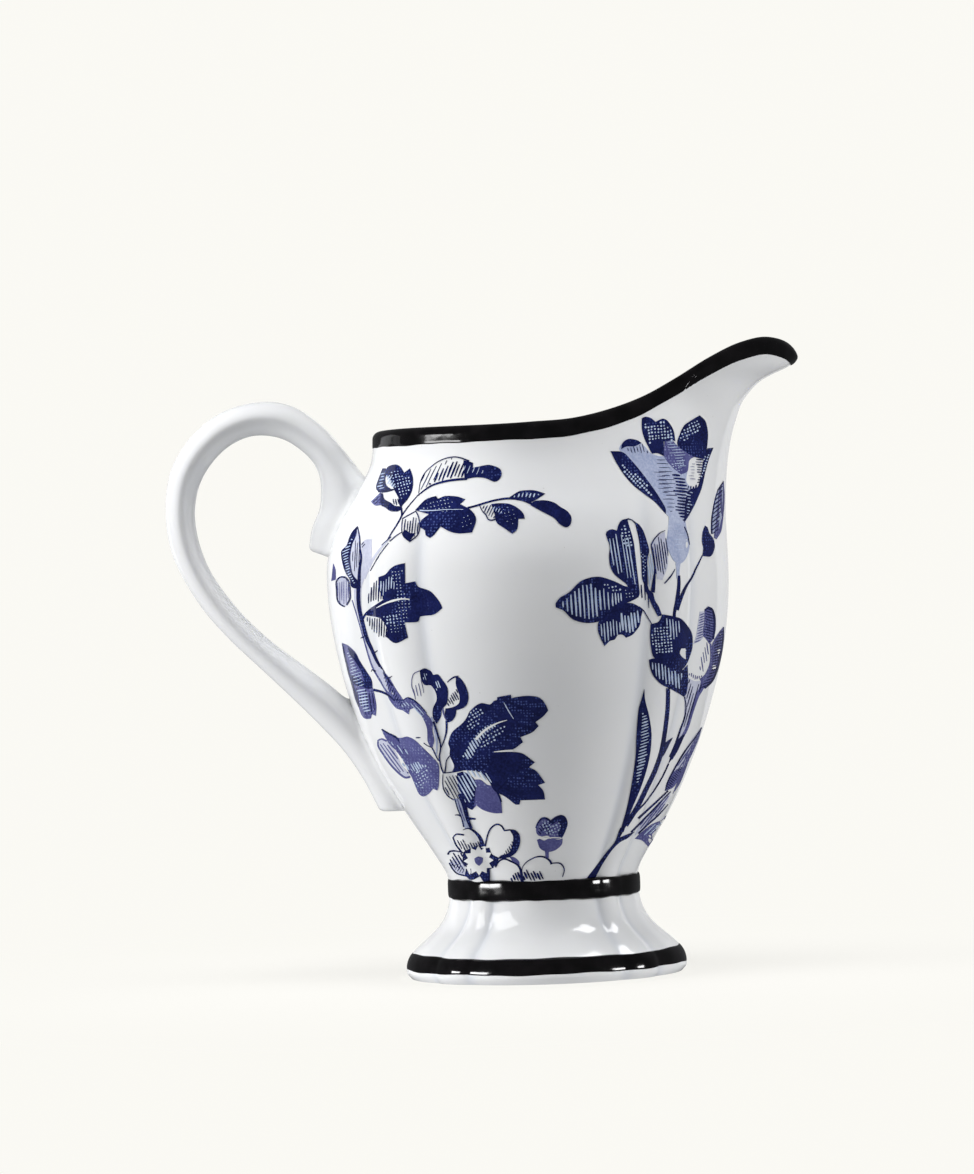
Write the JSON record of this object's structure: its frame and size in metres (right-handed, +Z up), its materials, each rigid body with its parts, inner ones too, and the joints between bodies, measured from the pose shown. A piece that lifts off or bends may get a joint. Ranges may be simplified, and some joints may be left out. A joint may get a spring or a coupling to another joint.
{
  "type": "porcelain cream jug",
  "caption": "Fluted porcelain cream jug on a pedestal foot, with a loop handle, a drawn-out pouring lip, black bands and a blue printed flower pattern.",
  "frame": {"origin": "centre of the foot's flat standing ring", "axes": "+Z is up, +X is towards the pouring lip, -X is towards the handle, and the jug is symmetric across Y"},
  "size_m": [0.1271, 0.0798, 0.1245],
  "materials": {
    "porcelain_glaze": "glossy clear glaze over bluish white porcelain",
    "fired_slip": "fired slip, hidden under the glaze",
    "black_enamel": "glossy black enamel, brushed on by hand",
    "blue_transfer": "cobalt blue transfer print under clear glaze"
  },
  "bodies": {
    "root": {"body": "porcelain_glaze", "foot": "porcelain_glaze", "handle": "porcelain_glaze", "foot_slip": "fired_slip", "handle_top_slip": "fired_slip", "handle_bottom_slip": "fired_slip", "rim_band": "black_enamel", "waist_band": "black_enamel", "foot_band": "black_enamel"}
  },
  "joints": []
}
